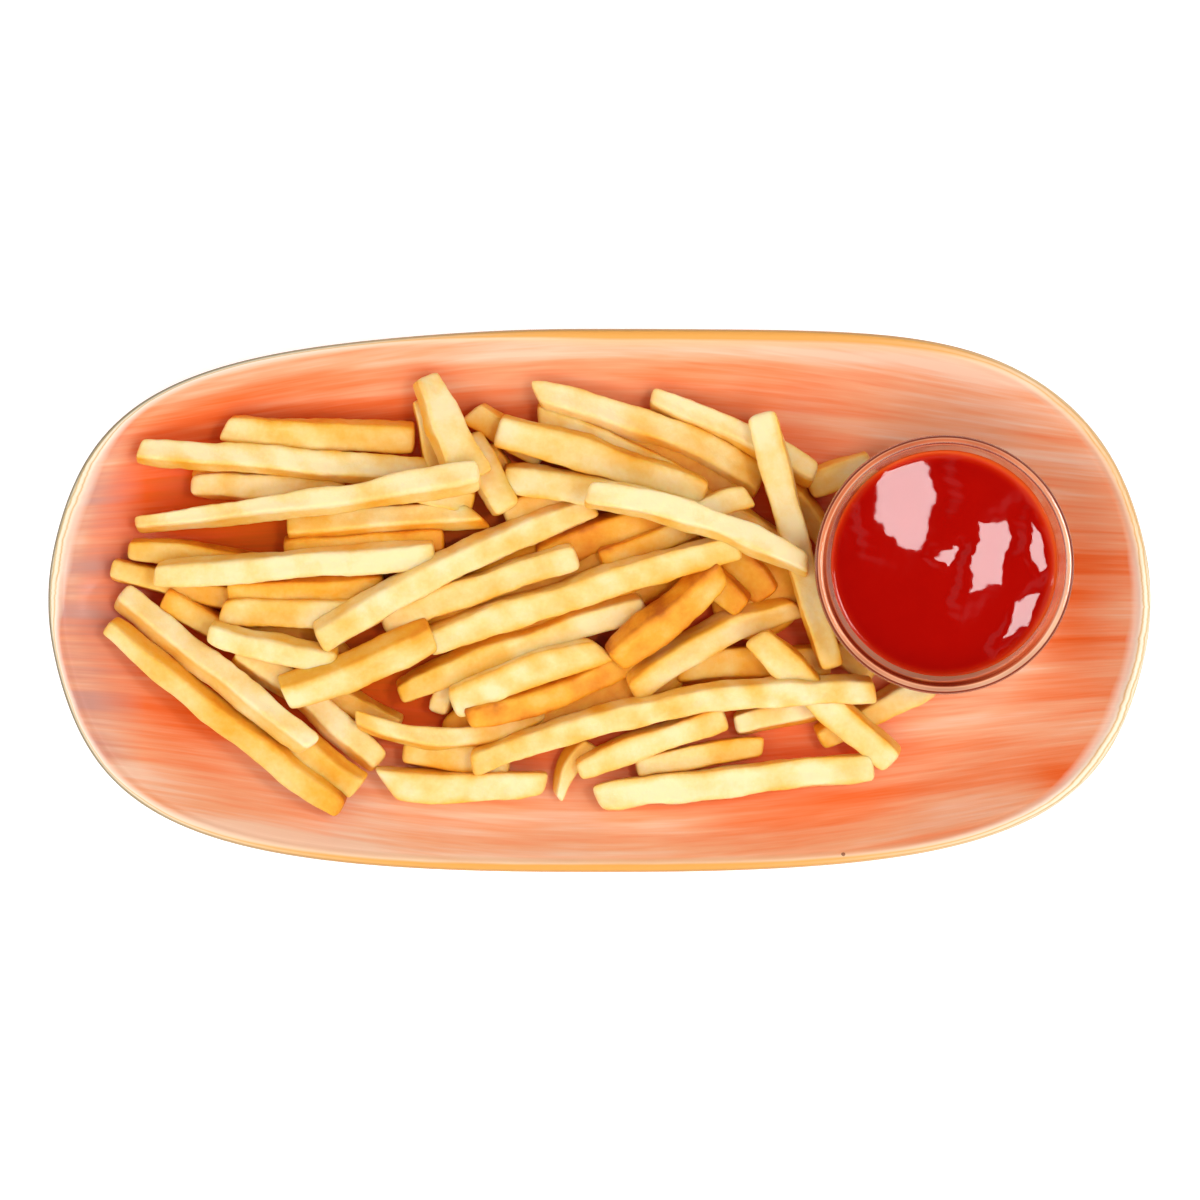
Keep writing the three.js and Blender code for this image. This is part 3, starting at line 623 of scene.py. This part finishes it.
START_LEAD, END_LEAD, START_BROWN, END_BROWN = range(9, 13)


def fry_run(fry):
    """A fry's length, and the direction in which it points."""
    run = fry[2:4] - fry[0:2]
    length = np.hypot(*run)
    return length, run / length


def fry_path(fry, u, side):
    """Plan position a share u along a fry, and a distance to the left of its middle line.

    The line is straight with a parabolic bow, and its ends may be cut on the slant."""
    length, (ex, ey) = fry_run(fry)
    left = side + 4 * fry[BOW] * u * (1 - u)
    slant = np.where(u < 0.5, fry[START_LEAD] * (0.5 - u), fry[END_LEAD] * (u - 0.5))
    along = u * length + slant * side / half_width(fry, u)
    return fry[0] + ex * along - ey * left, fry[1] + ey * along + ex * left


def width_at(fry, u):
    """A fry's width a share u along it: it grows or shrinks evenly from end to end."""
    return fry[START_WIDTH] + (fry[END_WIDTH] - fry[START_WIDTH]) * u


def half_width(fry, u):
    """Half of the width seen from above of a rectangle turned about its middle."""
    turn = math.radians(fry[TURN])
    return (width_at(fry, u) * math.cos(turn) + fry[THICKNESS] * abs(math.sin(turn))) / 2


def section_top(fry, u, side):
    """Height of the turned rectangle's upper edges over its middle, at a sideways distance."""
    turn = math.radians(fry[TURN])
    c, s = math.cos(turn), math.sin(turn)
    face = (fry[THICKNESS] / 2 + side * s) / c
    if abs(s) < 1e-6:
        return face
    return np.minimum(face, (width_at(fry, u) / 2 - np.sign(s) * side * c) / abs(s))


def plate_height_at(x, y):
    """Height of the plate's face, from the inset whose outline passes through the place."""
    low, high = np.zeros_like(x), np.full_like(x, WALL_WIDTH)
    for _ in range(12):
        inset = (low + high) / 2
        a, b = x / (PLATE_LENGTH / 2 - inset), y / (PLATE_WIDTH / 2 - inset)
        n = outline_exponent(np.arctan2(b, a))
        outside = np.abs(a) ** n + np.abs(b) ** n > 1
        low, high = np.where(outside, low, inset), np.where(outside, inset, high)
    return plate_face((low + high) / 2)


def settled(fries):
    """Heights of each fry's two ends, in millimetres, as it comes to rest on those below.

    A fry takes the line that best fits the tops beneath it, no steeper than its greatest
    tilt, and is raised until it clears most of them and all of the plate."""
    half_x, half_y = 150, 74
    x, y = np.meshgrid(np.arange(-half_x, half_x + 1.0), np.arange(-half_y, half_y + 1.0),
                       indexing="ij")
    floor = plate_height_at(x / 1000, y / 1000) * 1000 + FRY_GAP
    tops = floor.copy()
    u = np.linspace(0, 1, 24)[:, None]

    def cells(places):
        """Row and column of the millimetre square under each place."""
        return tuple(np.floor(place + (half + 0.5)).astype(int)
                     for place, half in zip(places, (half_x, half_y)))

    heights = []
    for fry in fries:
        reach = half_width(fry, u) * np.array([[-1, -0.5, 0, 0.5, 1]])
        near, wide = 0.6 * reach, 0.97 * reach
        rests = (tops[cells(fry_path(fry, u, near))] + section_top(fry, u, -near)).mean(1)
        clear = (floor[cells(fry_path(fry, u, wide))] + section_top(fry, u, -wide)).max(1)
        share = u[:, 0]
        length = fry_run(fry)[0]
        steepest = math.tan(math.radians(FRY_MAX_TILT)) * length
        fitted = ((share - 0.5) * (rests - rests.mean())).mean() / ((share - 0.5) ** 2).mean()
        rise = np.clip(fitted, -steepest, steepest)
        over = np.sort(rests - rise * share)[int(FRY_CONTACT * (len(share) - 1))] - FRY_SETTLE
        start = max(over, (clear - rise * share).max())
        steps = np.linspace(0, 1, math.ceil(length * 2) + 1)[:, None]
        side = half_width(fry, steps) * np.linspace(-1, 1, 23)
        np.maximum.at(tops, cells(fry_path(fry, steps, side)),
                      start + rise * steps + section_top(fry, steps, side))
        heights.append((start, start + rise))
    return np.array(heights)


def waves(rng, count, shortest, longest, *axes):
    """Smooth random relief: the mean of sine waves in random directions and lengths."""
    direction = rng.normal(size=(count, len(axes)))
    direction /= np.linalg.norm(direction, axis=1, keepdims=True)
    wave = 2 * math.pi / rng.uniform(shortest, longest, (count, 1))
    phase = rng.uniform(0, 2 * math.pi, count)
    total = sum(np.sin(sum(a * d for a, d in zip(axes, w)) + p)
                for w, p in zip(direction * wave, phase))
    return total / math.sqrt(count / 2)


def fry_surface(fry, heights, number):
    """A rounded square section carried along the fry's line and closed to a point at each end.

    The section swells, twists and sinks a little from place to place, and narrows towards the
    ends. Returns the points in metres and how brown the crust is at each, with painted shade on its
    flanks."""
    rng = np.random.default_rng(FRY_SEED + number)
    length, (ex, ey) = fry_run(fry)
    cap = np.array([0.25, 0.5, 0.72, 0.88, 0.97])
    inward = 1 - (1 - cap ** 3) ** (1 / 3)
    first, last = rng.uniform(0.9, 2.2, 2)
    body = np.linspace(first, length - last, int(length / 0.95))
    s = np.concatenate([first * inward, body, length - last * inward[::-1]])[:, None]
    shrink = np.concatenate([cap, np.ones(len(body)), cap[::-1]])[:, None]
    u = s / length
    narrow = rng.uniform(0.0, 0.28, (2, 2))
    taper = 1 - narrow[0, :1] * np.exp(-s / 4) - narrow[0, 1:] * np.exp(-(length - s) / 4)
    thinner = 1 - narrow[1, :1] * np.exp(-s / 3) - narrow[1, 1:] * np.exp(-(length - s) / 3)
    angle = full_turn(FRY_SIDES)[None]
    angle = angle + 0.13 * np.sin(4 * angle)
    reach = squared_reach(angle, rng.uniform(7, 12))
    a = width_at(fry, u) / 2 * taper * (1 + 0.035 * waves(rng, 3, 14, 50, s))
    b = fry[THICKNESS] / 2 * thinner * (1 + 0.04 * waves(rng, 3, 18, 60, s))
    across, up = a * reach * np.cos(angle), b * reach * np.sin(angle)
    across = across * (1 - rng.uniform(0, 0.16) * (1 + up / b)) + rng.uniform(-0.1, 0.1) * up
    bumps = 0.12 * waves(rng, 14, 6, 18, s, across, up)
    bumps += 0.06 * waves(rng, 14, 2.2, 5, s, across, up)
    sunken = rng.uniform(0.0, 0.35) * np.exp(-(across / a / 0.55) ** 2)
    lift = (bumps - sunken) / np.hypot(across, up)
    across, up = shrink * across * (1 + lift), shrink * up * (1 + lift)
    turn = math.radians(fry[TURN]) + 0.04 * waves(rng, 2, 40, 90, s)
    side = across * np.cos(turn) - up * np.sin(turn)
    rise = across * np.sin(turn) + up * np.cos(turn)
    wander = 0.2 * waves(rng, 2, 25, 60, s) * np.sin(math.pi * u)
    x, y = fry_path(fry, u + 0 * angle, side)
    z = heights[0] + (heights[1] - heights[0]) * u + rise
    points = np.stack([x - ey * wander, y + ex * wander, z], 2) / 1000
    flank = np.clip((np.abs(across / a) - np.abs(up / b)) * 3, 0, 1)
    corner = np.clip(np.hypot(across / a, up / b) - 1.12, 0, 0.25) * 4
    ends = np.exp(-np.minimum(s, length - s) / 1.8)
    # The crust is browner along the corners and at the cut ends, and the browner flanks are partly
    # painted shade of the sides.
    brown = fry[START_BROWN] + (fry[END_BROWN] - fry[START_BROWN]) * u
    brown = brown + flank * rng.uniform(0.15, 0.38)
    brown = brown + 0.24 * corner + ends * rng.uniform(0.05, 0.3)
    brown = brown + 0.10 * (1 - flank) * np.clip(np.abs(across / a), 0, 1) ** 4 - 0.04
    brown = brown + 0.09 * waves(rng, 8, 7, 24, s, across, up)
    return points, brown


def fried_potato(name):
    """Crust from pale cream through yellow and gold to brown, finely mottled and a little oily."""
    material, tree, shader = new_material(
        name, Subsurface_Weight=0.35, Subsurface_Scale=0.003, IOR=1.42)
    shader.inputs["Subsurface Radius"].default_value = (1.0, 0.45, 0.12)
    place = add_node(tree, "TexCoord").outputs["Object"]
    mottle = noise(tree, place, 260.0, 4.0, 0.62)
    speck = noise(tree, place, 900.0, 2.0, 0.5)
    tone = math_node(tree, "MULTIPLY_ADD", mottle, 0.38, point_value(tree, "brown"))
    tone = math_node(tree, "MULTIPLY_ADD", speck, 0.10, math_node(tree, "SUBTRACT", tone, 0.20))
    color = ramp(tree, tone, [
        (0.0, srgb(249, 226, 172)), (0.18, srgb(247, 213, 140)), (0.38, srgb(243, 194, 98)),
        (0.58, srgb(240, 172, 50)), (0.80, srgb(230, 142, 22)), (1.0, srgb(190, 96, 10)),
    ])
    grain = math_node(tree, "MULTIPLY_ADD", speck, 0.5, mottle)
    feed(tree, shader, color, remapped(tree, mottle, after=(0.40, 0.60)), grain, 0.35, 0.0004)
    return material


def fry_pile(name, members, heights, material):
    """All the fries of one colour as a single piece."""
    points, browns, quads, fans, count = [], [], [], [], 0
    for number in members:
        surface, brown = fry_surface(FRIES[number], heights[number], number)
        grid = np.concatenate([surface, brown[:, :, None]], 2)
        flat = with_poles(grid)
        four, three = ring_faces(*surface.shape[:2], first=count)
        points.append(flat[:, :3])
        browns.append(flat[:, 3])
        quads.append(four)
        fans.append(three)
        count += len(flat)
    pile = smooth_object(name, np.concatenate(points), np.concatenate(quads), np.concatenate(fans),
                         attributes=[("brown", np.concatenate(browns))])
    stand_in(pile, "fries", material)


fry_heights = settled(FRIES)
fry_tones = FRIES[:, START_BROWN:].mean(1)
crust = fried_potato("fried_potato")
fry_pile("golden_fries", np.flatnonzero(fry_tones > GOLDEN_FROM), fry_heights, crust)
fry_pile("pale_fries", np.flatnonzero(fry_tones <= GOLDEN_FROM), fry_heights, crust)


# ---------------------------------------------------------------------------
# Hidden heap: low mounds of broken fries under the others, so that the gaps between those show
# potato and not bare plate. Their dark gold is partly painted shade for the deep gaps. Each is a
# flattened dome of oval plan.
# ---------------------------------------------------------------------------
MOUND_HEIGHT, MOUND_SIDES, MOUND_BROWN_AND_SHADE = 6.5, 64, 0.65
# Middle x and y, half length and half width in millimetres, and the turn in degrees.
MOUNDS = [
    (-10, 4, 40, 14, 18), (-88, 36, 24, 7, 4), (-84, -14, 20, 10, -25),
    (16, 38, 26, 7, -22), (-10, -28, 34, 9, 12), (44, 2, 14, 12, 40),
]


def mound(x0, y0, length, width, degrees):
    """A flat floor, a steep side and a rounded top, all of the same turned oval."""
    share = np.array([0.3, 0.7, 0.96, 1.0, 0.99, 0.93, 0.8, 0.55, 0.25])[:, None]
    height = np.array([0, 0, 0, 0.4, 0.65, 0.85, 0.95, 1.0, 1.0])[:, None] * MOUND_HEIGHT
    angle, turn = full_turn(MOUND_SIDES), math.radians(degrees)
    p, q = share * length * np.cos(angle), share * width * np.sin(angle)
    c, s = math.cos(turn), math.sin(turn)
    z = WELL_HEIGHT * 1000 + FRY_GAP + height + 0 * angle
    return np.stack([x0 + p * c - q * s, y0 + p * s + q * c, z], 2) / 1000


mounds = [mound(*size) for size in MOUNDS]
mound_points = np.concatenate([with_poles(grid) for grid in mounds])
mound_quads, mound_fans = zip(*(
    ring_faces(*grid.shape[:2], first=number * len(with_poles(grid)))
    for number, grid in enumerate(mounds)))
hidden_heap = smooth_object(
    "hidden_heap", mound_points, np.concatenate(mound_quads), np.concatenate(mound_fans),
    attributes=[("brown", np.full(len(mound_points), MOUND_BROWN_AND_SHADE))])
stand_in(hidden_heap, "fries", crust)


# ---------------------------------------------------------------------------
# Studio: a white table top under a soft sky that is dim overhead. Broad lamps stand in front, at
# the front right and the front left, and a low soft box at each end of the plate. A small bright
# lamp hangs over the right end. It is seen from straight above.
# ---------------------------------------------------------------------------
floor_mesh = bpy.data.meshes.new("table_top")
floor_mesh.from_pydata([(-2, -2, 0), (2, -2, 0), (2, 2, 0), (-2, 2, 0)], [], [(0, 1, 2, 3)])
table_top = bpy.data.objects.new("table_top", floor_mesh)
bpy.context.scene.collection.objects.link(table_top)
floor_mesh.materials.append(new_material(
    "white_table", Base_Color=(0.9, 0.9, 0.9, 1), Roughness=0.8, Emission_Color=(1, 1, 1, 1),
    Emission_Strength=0.5)[0])

sky = bpy.data.worlds.new("soft_sky")
sky.use_nodes = True
direction = add_node(sky.node_tree, "TexCoord").outputs["Generated"]
upward = add_node(sky.node_tree, "SeparateXYZ", {"Vector": direction}).outputs["Z"]
dimmed = remapped(sky.node_tree, upward, (0.84, 0.95), (1.0, 0.12))
backdrop = sky.node_tree.nodes["Background"]
sky.node_tree.links.new(dimmed, backdrop.inputs["Color"])
backdrop.inputs["Strength"].default_value = 0.62
bpy.context.scene.world = sky

# Name, place, side in metres, power in watts, and whether glossy surfaces mirror it.
LAMPS = [
    ("large_lamp", (0.25, -0.95, 1.6), 1.5, 4.7, False),
    ("small_lamp", (0.34, 0.05, 0.95), 0.14, 1.7, True),
    ("right_lamp", (0.52, -0.42, 0.85), 0.9, 4.0, False),
    ("left_lamp", (-0.55, -0.42, 0.85), 0.8, 3.1, False),
    ("right_box", (1.3, -0.1, 0.45), 0.3, 1.6, True),
    ("left_box", (-1.3, 0.05, 0.45), 0.3, 2.2, True),
]


def soft_lamp(name, place, size, power, mirrored):
    """A square lamp that faces the middle of the plate: tipped by the angle between its line and
    straight down, and turned by that line's heading."""
    lamp = bpy.data.lights.new(name, "AREA")
    lamp.shape, lamp.size, lamp.energy = "SQUARE", size, power
    holder = bpy.data.objects.new(name, lamp)
    holder.location = place
    x, y, z = place
    holder.rotation_euler = (
        math.acos(z / np.linalg.norm(place)), 0, math.atan2(-y, -x) - math.pi / 2)
    holder.visible_glossy = mirrored
    bpy.context.scene.collection.objects.link(holder)


for settings in LAMPS:
    soft_lamp(*settings)

# The camera's height over the rim, the width that it sees there and the middle of its view, in
# metres.
CAMERA_HEIGHT, VIEW_WIDTH, VIEW_X, VIEW_Y = 1.1, 0.3258, 0.00014, 0.00014
eye = bpy.data.cameras.new("overhead_camera")
eye.sensor_width = 36
eye.lens = eye.sensor_width * CAMERA_HEIGHT / VIEW_WIDTH
camera = bpy.data.objects.new("overhead_camera", eye)
camera.location = (VIEW_X, VIEW_Y, PLATE_HEIGHT + CAMERA_HEIGHT)
bpy.context.scene.collection.objects.link(camera)
bpy.context.scene.camera = camera
bpy.context.scene.view_settings.view_transform = "Standard"
